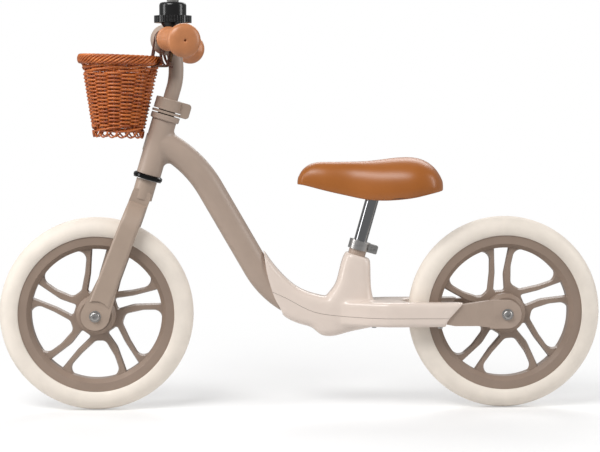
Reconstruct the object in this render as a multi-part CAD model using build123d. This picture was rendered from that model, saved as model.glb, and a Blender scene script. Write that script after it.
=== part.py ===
from build123d import *
import math
import os

# Child's balance bike with a cast frame, foam-tyred wheels, a padded saddle, a bell and a wicker basket.
#
# Units are millimetres. +X points to the rear of the bike, +Y to the rider's right, +Z up.
# The origin is on the floor, midway between the two axles, in the plane of symmetry.


# ------------------------------------------------------------------ driving dimensions
WHEEL_RADIUS = 145.0
WHEELBASE = 614.0
AXLE_HEIGHT = WHEEL_RADIUS
FRONT_X = -WHEELBASE / 2
REAR_X = WHEELBASE / 2

TYRE_HALF_WIDTH = 19.0
RIM_RADIUS = 116.5
RIM_FACE_RADIUS = 104.0
RIM_HALF_WIDTH = 15.7
WEB_HALF_WIDTH = 8.0
HUB_RADIUS = 29.5
HUB_HALF_LENGTH = 28.0
DROPOUT_INNER_Y = 31.0
DROPOUT_OUTER_Y = 40.0
DROPOUT_RADIUS = 21.2
FRONT_PATTERN_TURN = 0.0
REAR_PATTERN_TURN = 5.5

AXLE_RADIUS = 4.0
AXLE_HOLE_RADIUS = 4.1
BEARING_RADIUS = 11.0
BEARING_WIDTH = 7.0

STEER_ANGLE = 16.5
STEER_ORIGIN = (-229.5, 0, 350)
STEERER_RADIUS = 12.7
STEERER_TOP = 119.5
STEM_RADIUS = 11.1
STEM_BORE_RADIUS = 11.16
HEAD_TUBE_RADIUS = 18.4
HEAD_TUBE_BOTTOM = 4.0
HEAD_TUBE_TOP = 88.0
HEAD_BORE_RADIUS = 15.0
BEARING_SEAT_RADIUS = 18.0

FORK_ANGLE = 20.9
FORK_LENGTH = 196.0
FORK_HALF_DEPTH = 14.2
FORK_FOOT = 16.2
FORK_ROUNDING = 4.5
FORK_CHEEK = ((-21.0, 3.0), (-15.2, 58.0), (15.2, 58.0), (21.0, 3.0))
FORK_OUTER_Y = 42.0
FORK_INNER_Y = 27.0

SEAT_ANGLE = 15.7
SEAT_ORIGIN = (89.3, 0, 253)
SEAT_TUBE_RADIUS = 13.1
SEAT_TUBE_TOP = -5.0
POST_RADIUS = 10.0
POST_BORE_RADIUS = 10.06
POST_BOTTOM = -52.0
POST_TOP = 80.0
POST_INNER_RADIUS = 8.0
SEAT_BORE_BOTTOM = -104.0

BAR_CENTRE = (-205.0, 0, 554.5)
BAR_RADIUS = 11.1
BAR_BEND_Y = 42.0
BAR_IN_GRIP = 94.0
BAR_BULB_CENTRE = (-201.5, 0, 554.0)
BAR_BULB_RADIUS = 23.0
GRIP_START = (-194.6, -105.0, 551.7)
GRIP_END = (-168.0, -205.0, 545.8)

BASKET_ORIGIN = (-273.0, 0, 417)
BASKET_LEAN = 1.9
BASKET_FOOT_RADIUS = 39.0
BASKET_TOP_RADIUS = 59.0
BASKET_RIM_RADIUS = 59.2
BASKET_RIM_WIDTH = 8.4
BASKET_RIM_HEIGHT = 16.0
BASKET_RIM_LEVEL = 107.0
BASKET_WALL = 3.6
FOOT_LOOPS = 16
STRAP_Y = 27.0
STRAP_WIDTH = 12.0
STRAP_THICKNESS = 2.4

BELL_CENTRE = (-188.5, -80.0)
BELL_RING_Z = 575.4
BELL_RING_RADIUS = 27.0
BELL_DOME_RADIUS = 19.5
BELL_TOP_Z = 605.0


PETAL_SIDES = (((-2.0, -41.5), (-22.6, -60.5), (-48.0, -89.0)), ((37.0, -98.0), (26.2, -65.0), (12.5, -41.5)))
PETAL_OUTER_RADIUS = 97.8
PETAL_CORNER = 12.0
PETAL_TIP = 9.0
GAP_SIDES = (((-2.9, -33.2), (-3.6, -58.0), (-17.4, -104.0)), ((5.4, -104.0), (8.2, -60.0), (12.8, -33.2)))
GAP_OUTER_RADIUS = 101.5
GAP_CORNER = 3.0
SIDE_BOW = 30.0
SPOKE_PAIRS = 5
SPOKE_DRAFT = 14.0
HUB_SPLIT_RADIUS = 40.6
RIM_SPLIT_RADIUS = 96.0

SPINE_CORNERS = ((-216.0, 404.5), (-163.8, 380.1), (-28.6, 146.0), (92.0, 146.0))
SPINE_BENDS = (175.0, 134.0)
SPINE_DEPTH = 40.0
SPINE_WIDTH = 36.0
HEAD_JOINT_FILLET = 8.0
COVER_SKIN = 3.0
COVER_FRONT = ((-57.0, 243.0), (-52.0, 206.7), (-41.5, 171.5), (-28.0, 144.0))
SLOT_CENTRE_X = 181.0
STAY_OUTER_Y = 44.0
STAY_COVER = 3.6
STAY_ROUNDING = 4.0

CROWN_TOP = -4.0
CROWN_RADIUS = 15.5
ARCH_Z = 138.0

STEM_BOTTOM = 45.0

SADDLE_HALF_PLAN = ((4, 19), (32, 25), (74, 29), (118, 46), (162, 58), (197, 50))
SADDLE_NOSE_X = -6.0
SADDLE_TAIL_X = 213.0
PAN_INSET = 4.0
PAN_THICKNESS = 4.0

NODES = {}


# ------------------------------------------------------------------ helpers
def tilted(origin, angle):
    """A plane whose local Z leans towards the rear by angle from vertical, with local Y along world Y."""
    a = math.radians(angle)
    return Plane(origin=origin, x_dir=(math.cos(a), 0, -math.sin(a)), z_dir=(math.sin(a), 0, math.cos(a)))


BASKET = tilted(BASKET_ORIGIN, BASKET_LEAN)
FORK = tilted((FRONT_X, 0, AXLE_HEIGHT), FORK_ANGLE)
SEAT = tilted(SEAT_ORIGIN, SEAT_ANGLE)
STEER = tilted(STEER_ORIGIN, STEER_ANGLE)


def rod(radius, low, high):
    """A round bar along local Z from low to high."""
    return Pos(0, 0, (low + high) / 2) * Cylinder(radius, high - low)


def ring(outer, inner, low, high):
    """A round tube along local Z from low to high."""
    return rod(outer, low, high) - rod(inner, low - 1, high + 1)


def cross_rod(radius, low, high, x=0.0, z=0.0):
    """A round bar along Y from low to high."""
    return Pos(x, (low + high) / 2, z) * Rot(90, 0, 0) * Cylinder(radius, high - low)


def cross_ring(outer, inner, low, high, x=0.0, z=0.0):
    """A round tube along Y from low to high."""
    return cross_rod(outer, low, high, x, z) - cross_rod(inner, low - 1, high + 1, x, z)


def turned(points):
    """A solid of revolution about the Y axis from (radius, y) corners."""
    return revolve(make_face(Polyline(*points, close=True)), Axis.Y)


def lathe(points):
    """A solid of revolution about the Z axis from (radius, z) corners."""
    corners = [(r, 0, z) for r, z in points]
    return revolve(make_face(Polyline(*corners, close=True)), Axis.Z)


def side_slab(face, low, high):
    """A face drawn in the XZ plane, given thickness from Y low to Y high."""
    return Pos(0, high, 0) * extrude(face, high - low, dir=(0, -1, 0))


def outline(*points, close=True):
    """A face in the XZ plane from (x, z) corners."""
    return make_face(Polyline(*[(x, 0, z) for x, z in points], close=close))


def plan_slab(face, low, high):
    """A face drawn in the XY plane, given thickness from Z low to Z high."""
    return Pos(0, 0, low) * extrude(face, high - low, dir=(0, 0, 1))


def both_sides(shape):
    """The shape and its mirror image in the plane of symmetry."""
    return shape + mirror(shape, Plane.XZ)


def hexagon(across_flats, low, high, x=0.0, z=0.0):
    """A hexagonal prism along Y, such as a nut."""
    flat = RegularPolygon(across_flats / 2, 6, major_radius=False)
    prism = extrude(flat, (high - low) / 2, both=True)
    return Pos(x, (low + high) / 2, z) * Rot(90, 0, 0) * prism


def node(name, shape):
    """Stores a finished piece under its name."""
    NODES[name] = shape


# ------------------------------------------------------------------ wheels
def opening(sides, outer_radius, tip_fillet, corner_fillet):
    """The outline of an opening between two bowed sides that ends at a circle, with rounded corners."""
    left, right = sides
    beyond = [(left[-1][0], -RIM_RADIUS), (right[0][0], -RIM_RADIUS)]
    face = make_face(Polyline(*left, *beyond, *right, close=True)) & Circle(outer_radius)
    face = fillet(face.vertices().sort_by(Axis.Y)[:2], corner_fillet)
    face = fillet(face.vertices().sort_by(Axis.Y)[-2:], tip_fillet)
    for x, y in (left[1], right[1]):
        face = fillet([face.vertices().sort_by_distance((x, y, 0))[0]], SIDE_BOW)
    return Rot(90, 0, 0) * face


def spoke_openings():
    """The five rounded triangles and five curved channels between the spokes, as one cutter along Y."""
    petal = opening(PETAL_SIDES, PETAL_OUTER_RADIUS, PETAL_TIP, PETAL_CORNER)
    gap = Rot(0, 180 / SPOKE_PAIRS, 0) * opening(GAP_SIDES, GAP_OUTER_RADIUS, GAP_CORNER, GAP_CORNER)
    cutter = None
    for k in range(SPOKE_PAIRS):
        turn = Rot(0, k * 360 / SPOKE_PAIRS, 0)
        for face in (petal, gap):
            half = extrude(face, WEB_HALF_WIDTH, dir=(0, -1, 0), taper=-SPOKE_DRAFT)
            piece = turn * both_sides(half)
            cutter = piece if cutter is None else cutter + piece
    return cutter


def wheel_centre():
    """Hub, spokes and rim, moulded in one piece, with a seat for a bearing at each end of the hub."""
    half = RIM_HALF_WIDTH
    section = (
        (PETAL_OUTER_RADIUS, -WEB_HALF_WIDTH - 1), (RIM_FACE_RADIUS, -half), (RIM_RADIUS, -half),
        (RIM_RADIUS, -half + 3), (108, -half + 3), (108, half - 3), (RIM_RADIUS, half - 3),
        (RIM_RADIUS, half), (RIM_FACE_RADIUS, half), (PETAL_OUTER_RADIUS, WEB_HALF_WIDTH + 1),
    )
    web = cross_rod(RIM_FACE_RADIUS, -WEB_HALF_WIDTH, WEB_HALF_WIDTH) - spoke_openings()
    hub = turned((
        (0, -HUB_HALF_LENGTH), (24, -HUB_HALF_LENGTH), (HUB_RADIUS, -22), (HUB_RADIUS, 22),
        (24, HUB_HALF_LENGTH), (0, HUB_HALF_LENGTH),
    ))
    body = turned(section) + web + hub
    body -= cross_rod(8, -30, 30)
    for y in (-HUB_HALF_LENGTH, HUB_HALF_LENGTH - BEARING_WIDTH):
        body -= cross_rod(BEARING_RADIUS, y, y + BEARING_WIDTH)
    return body


def tyre():
    """A solid foam tyre with a round crown that sits in the rim's channel."""
    half, bulge = RIM_HALF_WIDTH - 3, TYRE_HALF_WIDTH
    arc = ThreePointArc((RIM_RADIUS + 12, bulge), (WHEEL_RADIUS, 0), (RIM_RADIUS + 12, -bulge))
    lower = Polyline(
        (RIM_RADIUS + 12, -bulge), (RIM_RADIUS, -RIM_HALF_WIDTH), (RIM_RADIUS, -half), (108, -half),
        (108, half), (RIM_RADIUS, half), (RIM_RADIUS, RIM_HALF_WIDTH), (RIM_RADIUS + 12, bulge),
    )
    return revolve(make_face([arc, lower]), Axis.Y)


def bearing_pair(x):
    """Two ball bearings of 22 mm outer diameter, one in each end of a hub."""
    pair = None
    for y in (-HUB_HALF_LENGTH, HUB_HALF_LENGTH - BEARING_WIDTH):
        one = cross_ring(BEARING_RADIUS, AXLE_HOLE_RADIUS, y, y + BEARING_WIDTH, x, AXLE_HEIGHT)
        pair = one if pair is None else pair + one
    return pair


def wheel(name, x, turn):
    """One wheel: tyre, bearings and the moulded centre in three nodes, so that its gaps stay open."""
    place = Pos(x, 0, AXLE_HEIGHT)
    node(name + "_tyre", place * tyre())
    centre = Rot(0, -turn, 0) * wheel_centre()
    core = cross_rod(HUB_SPLIT_RADIUS, -40, 40)
    middle = cross_rod(RIM_SPLIT_RADIUS, -40, 40)
    node(name + "_hub", place * (centre & core))
    node(name + "_spokes", place * ((centre & middle) - core))
    node(name + "_rim", place * (centre - middle))
    node(name + "_wheel_bearings", bearing_pair(x))
    inner = HUB_HALF_LENGTH - BEARING_WIDTH
    node(name + "_bearing_sleeve", cross_ring(6.0, AXLE_HOLE_RADIUS, -inner, inner, x, AXLE_HEIGHT))


def axle_set(name, x):
    """Through bolt, nut, washers and spacers that hold one wheel between its dropouts."""
    washer_end = DROPOUT_OUTER_Y + 1.5
    bolt = cross_rod(AXLE_RADIUS, -washer_end, washer_end + 9, x, AXLE_HEIGHT)
    head = cross_rod(6.8, -washer_end - 4.6, -washer_end, x, AXLE_HEIGHT)
    head = fillet(head.edges().group_by(Axis.Y)[0], 2.6)
    socket = hexagon(5.0, -washer_end - 6, -washer_end - 2.0, x, AXLE_HEIGHT)
    node(name + "_axle_bolt", bolt + head - socket)
    nut = hexagon(13.0, washer_end, washer_end + 6.5, x, AXLE_HEIGHT)
    node(name + "_axle_nut", nut - cross_rod(AXLE_RADIUS, washer_end - 1, washer_end + 8, x, AXLE_HEIGHT))
    washers = cross_ring(8.5, AXLE_RADIUS, DROPOUT_OUTER_Y, washer_end, x, AXLE_HEIGHT)
    node(name + "_axle_washers", both_sides(washers))
    spacer = cross_ring(6.4, AXLE_HOLE_RADIUS, HUB_HALF_LENGTH + 0.3, DROPOUT_INNER_Y, x, AXLE_HEIGHT)
    node(name + "_axle_spacers", both_sides(spacer))


# ------------------------------------------------------------------ frame
def spine(depth, width):
    """The S-shaped main tube, oval in section."""
    corners = [(x, 0, z) for x, z in SPINE_CORNERS]
    path = FilletPolyline(*corners, radius=list(SPINE_BENDS))
    start = Plane(origin=path @ 0, z_dir=path % 0, x_dir=(0, 1, 0))
    return sweep(start * Ellipse(width / 2, depth / 2), path=path)


def cover_zone(shift=0.0):
    """Everything behind the slanted front edge of the lower covers."""
    front = Spline(*[(x + shift, 0, z) for x, z in COVER_FRONT])
    low, high = front @ 1, front @ 0
    back = Polyline(low, (low.X, 0, 90), (400, 0, 90), (400, 0, high.Z), high)
    return side_slab(make_face([front, back]), -80, 80)


def stay_plan(grow):
    """The fork of the two stays around the rear wheel, seen from above."""
    y, slot = STAY_OUTER_Y + grow, DROPOUT_INNER_Y - grow
    half = [
        (20, 14 + grow), (58, 17 + grow), (100, 36 + grow), (128, y), (262, y),
        (286, DROPOUT_OUTER_Y + grow), (331, DROPOUT_OUTER_Y + grow),
    ]
    corners = half + [(x, -w) for x, w in reversed(half)]
    tail = Pos(SLOT_CENTRE_X + 100, 0) * Rectangle(200, 2 * slot)
    return make_face(Polyline(*corners, close=True)) - Pos(SLOT_CENTRE_X, 0) * Circle(slot) - tail


def stays():
    """The rear of the casting: two stays that end in dropouts for the rear axle."""
    profile = outline(
        (20, 131), (214, 131), (228, 128.3), (262, 128.3), (290, 124.2), (290, 165.8), (279, 165.8),
        (245, 161), (228, 159), (20, 159),
    )
    boss = cross_rod(DROPOUT_RADIUS, -60, 60, REAR_X, AXLE_HEIGHT)
    boss += Pos(294, 0, AXLE_HEIGHT) * Box(26, 120, 2 * DROPOUT_RADIUS)
    return plan_slab(stay_plan(0), 100, 190) & (side_slab(profile, -60, 60) + boss)


def frame_blank():
    """The casting before its bores are cut."""
    tube = spine(SPINE_DEPTH, SPINE_WIDTH) - cover_zone()
    core = spine(SPINE_DEPTH - 2 * COVER_SKIN, SPINE_WIDTH - 2 * COVER_SKIN) & cover_zone(-12)
    front = tube + STEER * rod(HEAD_TUBE_RADIUS, HEAD_TUBE_BOTTOM, HEAD_TUBE_TOP)
    joint = front.edges().filter_by(lambda e: abs(e.center().Y) > 15 and e.center().X < -195)
    seat = SEAT * rod(SEAT_TUBE_RADIUS, -108, SEAT_TUBE_TOP)
    return fillet(joint, HEAD_JOINT_FILLET) + core + stays() + seat


def frame():
    """The cast frame: head tube, S-shaped spine, seat tube and the two rear stays."""
    body = frame_blank()
    body -= STEER * rod(HEAD_BORE_RADIUS, HEAD_TUBE_BOTTOM - 1, HEAD_TUBE_TOP + 1)
    body -= SEAT * rod(POST_BORE_RADIUS, SEAT_BORE_BOTTOM, 5)
    return body - cross_rod(AXLE_RADIUS, -60, 60, REAR_X, AXLE_HEIGHT)


def covers_outside():
    """The outer shape of the two plastic covers round the middle and rear of the frame."""
    top = Spline((-60, 0, 245), (-48, 0, 226), (-28, 0, 202), (-3, 0, 181.5), (28, 0, 170.5), (60, 0, 164))
    low = Spline((112, 0, 125), (92, 0, 121), (69, 0, 116), (47, 0, 110.5), (29, 0, 113), (16, 0, 123.4),
                 (2, 0, 128), (-11, 0, 132.5), (-34, 0, 150))
    belly = make_face([top, Line(top @ 1, (112, 0, 162)), Line((112, 0, 162), low @ 0), low,
                       Line(low @ 1, (-80, 0, 190)), Line((-80, 0, 190), top @ 0)])
    belly = side_slab(belly, -19, 19)
    belly = fillet(belly.edges().filter_by(lambda e: abs(abs(e.center().Y) - 19) < 0.1 and e.length > 60), 11)
    front = Spline((32, 0, 160), (43.5, 0, 175.6), (50.5, 0, 185), (59.5, 0, 214), (68, 0, 236.5))
    rear = Spline((102.5, 0, 226.0), (103.5, 0, 196), (108, 0, 165), (116, 0, 150))
    tower = make_face([front, Line(front @ 1, rear @ 0), rear, Line(rear @ 1, (32, 0, 150)),
                       Line((32, 0, 150), front @ 0)])
    tower = side_slab(tower, -20, 20)
    tower = fillet(tower.edges().filter_by(lambda e: abs(abs(e.center().Y) - 20) < 0.1 and e.length > 60
                                           and e.center().Z > 170), 13)
    arms = plan_slab(stay_plan(STAY_COVER), 131 - STAY_COVER, 159 + STAY_COVER)
    rims = arms.edges().group_by(Axis.Z)
    arms = fillet(rims[0] + rims[-1], STAY_ROUNDING)
    end = outline((18, 100), (214, 100), (214, 129), (218, 136), (239, 162), (239, 190), (18, 190))
    arms = arms & side_slab(end, -80, 80)
    return belly + tower + arms


def covers():
    """The upper and lower covers, split along a line that rises towards the front."""
    shell = (covers_outside() & cover_zone()) - frame_blank()
    shell -= SEAT * rod(SEAT_TUBE_RADIUS, -20, 40)
    seam = Spline((-80, 0, 157), (2, 0, 149), (34, 0, 141), (80, 0, 138.5))
    below = Polyline((80, 0, 138.5), (400, 0, 138.5), (400, 0, 50), (-80, 0, 50), (-80, 0, 157))
    under = make_face([seam, below])
    under = side_slab(under, -90, 90)
    node("upper_cover", shell - under)
    node("lower_cover", shell & under)


# ------------------------------------------------------------------ frame fittings
def cover_screws():
    """Four screws that hold the lower cover up against the casting."""
    screws = None
    for x, y in ((108, 27), (206, 40)):
        for side in (-1, 1):
            screw = Pos(x, side * y, 0) * (rod(3.6, 124.6, 127.4) + rod(1.6, 127.4, 136))
            screws = screw if screws is None else screws + screw
    return screws


def seat_clamp():
    """A clamp ring round the top of the seat tube, with two ears to the rear."""
    low, high, ear_z = SEAT_TUBE_TOP - 8.5, SEAT_TUBE_TOP + 5.5, SEAT_TUBE_TOP - 2.0
    band = rod(16.0, low, high) + Pos(19.5, 0, ear_z) * fillet(Box(17, 15, 13).edges().filter_by(Axis.Y), 2)
    band -= rod(SEAT_TUBE_RADIUS, low - 1, SEAT_TUBE_TOP) + rod(POST_RADIUS + 0.4, low, high + 1)
    band -= Pos(25, 0, ear_z) * Box(26, 2.4, 20)
    return SEAT * (band - cross_rod(2.5, -12, 12, 22.5, ear_z))


def pinch_bolt(place, x, z, reach):
    """A socket-head bolt along Y that draws two ears together, and its nut."""
    bolt = cross_rod(2.5, -reach, reach + 3.5, x, z) + cross_rod(4.2, -reach - 4, -reach, x, z)
    bolt -= hexagon(4.0, -reach - 5, -reach - 1.8, x, z)
    nut = hexagon(8.0, reach, reach + 4, x, z) - cross_rod(2.5, reach - 1, reach + 6, x, z)
    return place * bolt, place * nut


def headset():
    """Two bearing cups on the head tube and the bearing in each."""
    low, high = HEAD_TUBE_BOTTOM, HEAD_TUBE_TOP
    lower = lathe(((BEARING_SEAT_RADIUS, low - 7), (21, low - 7), (22, low - 5.5), (22, low - 2), (19.5, low),
                   (BEARING_SEAT_RADIUS, low)))
    upper = lathe(((BEARING_SEAT_RADIUS, high), (20.5, high), (21.7, high + 1.2), (21.7, high + 8.5),
                   (BEARING_SEAT_RADIUS, high + 8.5)))
    bearing = ring(BEARING_SEAT_RADIUS, STEERER_RADIUS + 0.06, low - 7, low)
    bearing += ring(BEARING_SEAT_RADIUS, STEERER_RADIUS + 0.06, high, high + 7)
    node("lower_headset_cup", STEER * lower)
    node("upper_headset_cup", STEER * upper)
    node("headset_bearings", STEER * bearing)


def head_badge():
    """A thin blank oval plate curved round the front of the head tube."""
    plate = ring(HEAD_TUBE_RADIUS + 1.0, HEAD_TUBE_RADIUS, 20, 80)
    window = Pos(-20, 0, 50) * Rot(0, 90, 0) * extrude(Ellipse(13, 8.5), 20, both=True)
    return STEER * (plate & window)


# ------------------------------------------------------------------ fork
def fork():
    """Two flat legs that arch over the tyre, a crown and the hollow steerer."""
    outer, top = FORK_OUTER_Y, FORK_LENGTH + 2
    shape = make_face(Polyline(
        (-outer, 0), (-outer, ARCH_Z), (outer, ARCH_Z), (outer, 0), close=True))
    shape += Pos(0, ARCH_Z) * Circle(outer)
    shape += Pos(0, 180) * Rectangle(28, 36)
    gap = make_face(Polyline(
        (-DROPOUT_INNER_Y, -5), (-DROPOUT_INNER_Y, 22), (-FORK_INNER_Y, 40), (-FORK_INNER_Y, ARCH_Z),
        (FORK_INNER_Y, ARCH_Z), (FORK_INNER_Y, 40), (DROPOUT_INNER_Y, 22), (DROPOUT_INNER_Y, -5), close=True))
    shape = shape - gap - Pos(0, ARCH_Z) * Circle(FORK_INNER_Y)
    face = Plane(origin=(0, 0, 0), x_dir=(0, 1, 0), z_dir=(1, 0, 0)) * shape
    blade = outline((-FORK_FOOT, 0), (-FORK_HALF_DEPTH, top), (FORK_HALF_DEPTH, top), (FORK_FOOT, 0))
    legs = extrude(face, 30, both=True) & side_slab(blade, -80, 80)
    long_edges = legs.edges().filter_by(lambda e: abs(e.tangent_at(0.5).X) < 0.9 and e.length > 25)
    legs = FORK * fillet(long_edges, FORK_ROUNDING)
    legs -= cross_rod(DROPOUT_RADIUS + 2, DROPOUT_OUTER_Y, 60, FRONT_X, AXLE_HEIGHT)
    legs -= cross_rod(DROPOUT_RADIUS + 2, -60, -DROPOUT_OUTER_Y, FRONT_X, AXLE_HEIGHT)
    boss = cross_rod(DROPOUT_RADIUS, DROPOUT_INNER_Y, DROPOUT_OUTER_Y, FRONT_X, AXLE_HEIGHT)
    boss += FORK * side_slab(outline(*FORK_CHEEK), DROPOUT_INNER_Y, DROPOUT_OUTER_Y)
    crown = STEER * (rod(CROWN_RADIUS, -34, CROWN_TOP) + rod(STEERER_RADIUS, -10, STEERER_TOP))
    body = legs + both_sides(boss) + crown - STEER * rod(STEM_BORE_RADIUS, 5, STEERER_TOP + 1)
    return body - cross_rod(AXLE_RADIUS, -60, 60, FRONT_X, AXLE_HEIGHT)


def stem_clamp():
    """The collar at the top of the steerer, with a deep ear to the rear."""
    collar = fillet(rod(21.0, 103.5, 121.0).edges().group_by(Axis.Z)[-1], 2.0)
    ear = fillet(Box(19, 18, 22.6).edges().filter_by(Axis.Y), 5)
    ear = fillet(ear.edges().group_by(Axis.Y)[0] + ear.edges().group_by(Axis.Y)[-1], 1.5)
    body = collar + Pos(24.0, 0, 109.7) * ear - rod(22.6, 90, 103.5)
    body -= rod(STEERER_RADIUS, 90, STEERER_TOP) + rod(STEM_BORE_RADIUS, 90, 125)
    body -= Pos(24, 0, 110) * Box(26, 2.0, 40)
    return STEER * (body - cross_rod(2.5, -6, 12, 26.5, 108))


def stem_bolt():
    """The socket-head bolt of the stem clamp, which threads into the left ear."""
    bolt = cross_rod(2.5, -6, 9, 26.5, 108) + cross_rod(4.2, 9, 13, 26.5, 108)
    return STEER * (bolt - hexagon(4.0, 10.8, 14, 26.5, 108))


def steering_fittings():
    node("crown_race", STEER * ring(21.0, STEERER_RADIUS, -4.0, -3.3))
    node("top_cap", STEER * ring(22.0, STEERER_RADIUS, 98.3, 101.8))
    node("stem_clamp", stem_clamp())
    node("stem_clamp_bolt", stem_bolt())


# ------------------------------------------------------------------ handlebar
def handlebar():
    """One bent tube: a stem that rises from the steerer and a crossbar swept a little back."""
    low = STEER.from_local_coords(Vector(0, 0, STEM_BOTTOM))
    high = STEER.from_local_coords(Vector(0, 0, 139.0))
    x, _, z = BAR_CENTRE
    bend = Spline(high, (-186.6, 0, 507), (-188.5, 0, 529), (x, 0, z), tangents=(high - low, (-0.8, 0, 0.5)))
    path = Wire([Line(low, high), bend])
    stem = sweep(Plane(origin=low, z_dir=high - low) * Circle(STEM_RADIUS), path=path)
    ends = []
    for side in (-1, 1):
        place = grip_place(side)
        ends.append(place.from_local_coords(Vector(0, 0, BAR_IN_GRIP)))
    bends = FilletPolyline(ends[0], (x, -BAR_BEND_Y, z), (x, BAR_BEND_Y, z), ends[1], radius=60)
    bar = sweep(Plane(origin=bends @ 0, z_dir=bends % 0) * Circle(BAR_RADIUS), path=bends)
    bulb = Pos(*BAR_BULB_CENTRE) * Sphere(BAR_BULB_RADIUS) & Box(900, 37, 2000)
    return stem + bar + bulb


def grip_place(side):
    """A plane at the inner end of a grip whose local Z runs out along it."""
    start = Vector(GRIP_START[0], -side * GRIP_START[1], GRIP_START[2])
    end = Vector(GRIP_END[0], -side * GRIP_END[1], GRIP_END[2])
    return Plane(origin=start, z_dir=end - start, x_dir=(0, 0, 1))


def grip(side):
    """A soft sleeve with ring grooves and a domed knob at the outer end."""
    corners = [(0, 0), (16.5, 0), (17.5, 1.5), (16.5, 3)]
    for k in range(14):
        s = 5 + 5.6 * k
        corners += [(15.6, s), (15.6, s + 4.4), (15.0, s + 5.0)]
    corners += [(15.6, 84), (18.5, 88), (21.5, 90.5), (23.5, 95), (23.5, 98), (21.5, 102),
                (15, 104.4), (8, 105.2), (0, 105.4)]
    sleeve = lathe(corners)
    return grip_place(side) * sleeve - NODES["handlebar"]


# ------------------------------------------------------------------ bell
def bell_place():
    x, y = BELL_CENTRE
    return Pos(x, y, 0)


def bell_base():
    """The clamp round the bar and the tapered base that carries the twist ring."""
    low = BELL_RING_Z - 0.4
    cup = lathe(((0, 562), (9, 562), (17.5, low), (19.5, low), (19.5, low + 0.05), (14, low + 0.05),
                 (14, 586), (0, 586)))
    bar_x, bar_z = -198.6, 552.8
    clamp = cross_rod(14.5, -6, 6, bar_x, bar_z)
    neck = Pos((bar_x + BELL_CENTRE[0]) / 2, 0, 562) * Box(18, 12, 10)
    return bell_place() * cup + Pos(0, BELL_CENTRE[1], 0) * (clamp + neck) - NODES["handlebar"]


def bell_ring():
    """The knurled twist ring."""
    body = ring(BELL_RING_RADIUS, 14.06, BELL_RING_Z, BELL_RING_Z + 10.2)
    flutes = 40
    for k in range(flutes):
        place = Rot(0, 0, k * 360 / flutes) * Pos(BELL_RING_RADIUS + 0.5, 0, BELL_RING_Z + 5)
        body -= place * Cylinder(1.3, 12)
    return bell_place() * body


def bell_dome():
    """The hollow top of the bell."""
    r, low, high = BELL_DOME_RADIUS, BELL_RING_Z + 10.6, BELL_TOP_Z
    outer = fillet(rod(r, low, high).edges().group_by(Axis.Z)[-1], 5)
    inner = fillet(rod(r - 1.6, low - 1, high - 2).edges().group_by(Axis.Z)[-1], 3.5)
    return bell_place() * (outer - inner)


def bell_knob():
    return bell_place() * fillet(rod(8.6, BELL_TOP_Z, BELL_TOP_Z + 12).edges().group_by(Axis.Z)[-1], 2)


# ------------------------------------------------------------------ basket


def basket():
    """A round tapered basket with a thick border, a woven floor and open loops for feet."""
    foot, top, level = BASKET_FOOT_RADIUS, BASKET_TOP_RADIUS, BASKET_RIM_LEVEL
    wall = lathe(((0, 0), (foot, 0), (top, level), (top - BASKET_WALL, level), (foot - BASKET_WALL, 4),
                  (0, 4)))
    border = Plane(origin=(BASKET_RIM_RADIUS, 0, level), x_dir=(1, 0, 0), z_dir=(0, -1, 0))
    rim_ring = revolve(border * Ellipse(BASKET_RIM_WIDTH / 2, BASKET_RIM_HEIGHT / 2), Axis.Z)
    feet = None
    reach = foot - 2
    for k in range(FOOT_LOOPS):
        arch = Pos(0, 0, 0) * (Circle(7.2) - Circle(4.4)) & Pos(0, -5) * Rectangle(20, 10)
        loop = Plane(origin=(reach, 0, 0), x_dir=(0, 1, 0), z_dir=(1, 0, 0)) * arch
        loop = Rot(0, 0, (k + 0.5) * 360 / FOOT_LOOPS) * extrude(loop, 1.4, both=True)
        feet = loop if feet is None else feet + loop
    body = BASKET * (wall + rim_ring + feet)
    for side in (-1, 1):
        body -= strap_band(side, 0.3)
    return body


def strap_hull(grow):
    """The line of a strap round the bar and the basket's border, as a filled shape."""
    bar = Pos(BAR_CENTRE[0] + 0.6, BAR_CENTRE[2] - 0.3) * Circle(BAR_RADIUS + grow)
    front = Pos(-219.5, 518.5) * Circle(2.5 + grow)
    rear = Pos(-202.0, 518.5) * Circle(2.5 + grow)
    return make_hull((bar + front + rear).edges())


def strap_band(side, spare=0.0):
    """One closed strap loop, with optional spare thickness all round."""
    face = strap_hull(STRAP_THICKNESS + spare) - strap_hull(0.0 - spare)
    upright = Plane(origin=(0, side * STRAP_Y, 0), x_dir=(1, 0, 0), z_dir=(0, -1, 0))
    return extrude(upright * face, STRAP_WIDTH / 2 + spare, both=True)


def strap(side):
    """A leather loop, relieved where it rests on the bar."""
    return strap_band(side) - NODES["handlebar"]


def buckle(side):
    """A square wire buckle on the rear run of a strap, with its prong."""
    place = tilted((-196.0, side * STRAP_Y, 528.5), 9.0)
    wire = Box(2.2, 18, 15) - Box(4, 13.6, 10.6)
    wire += Pos(0, 0, 0) * Box(1.4, 1.6, 13)
    return place * Pos(3.2, 0, 0) * wire


# ------------------------------------------------------------------ saddle
def saddle_plan(inset=0.0):
    """The saddle seen from above: a slim nose that widens to the rear."""
    half = [(x, y - inset) for x, y in SADDLE_HALF_PLAN]
    other = [(x, -y) for x, y in reversed(half)]
    nose, tail = SADDLE_NOSE_X + inset, SADDLE_TAIL_X - inset
    return make_face(Spline((nose, 0), *half, (tail, 0), *other, periodic=True))


def saddle_underside(lift=0.0):
    """The curve of the saddle's underside, optionally lifted."""
    points = ((SADDLE_TAIL_X, 331), (191, 327.3), (161, 321.2), (125, 317.7), (94, 319), (66, 324.1),
              (35, 331), (5, 338), (SADDLE_NOSE_X, 340))
    return Spline(*[(x, 0, z + lift) for x, z in points])


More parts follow.
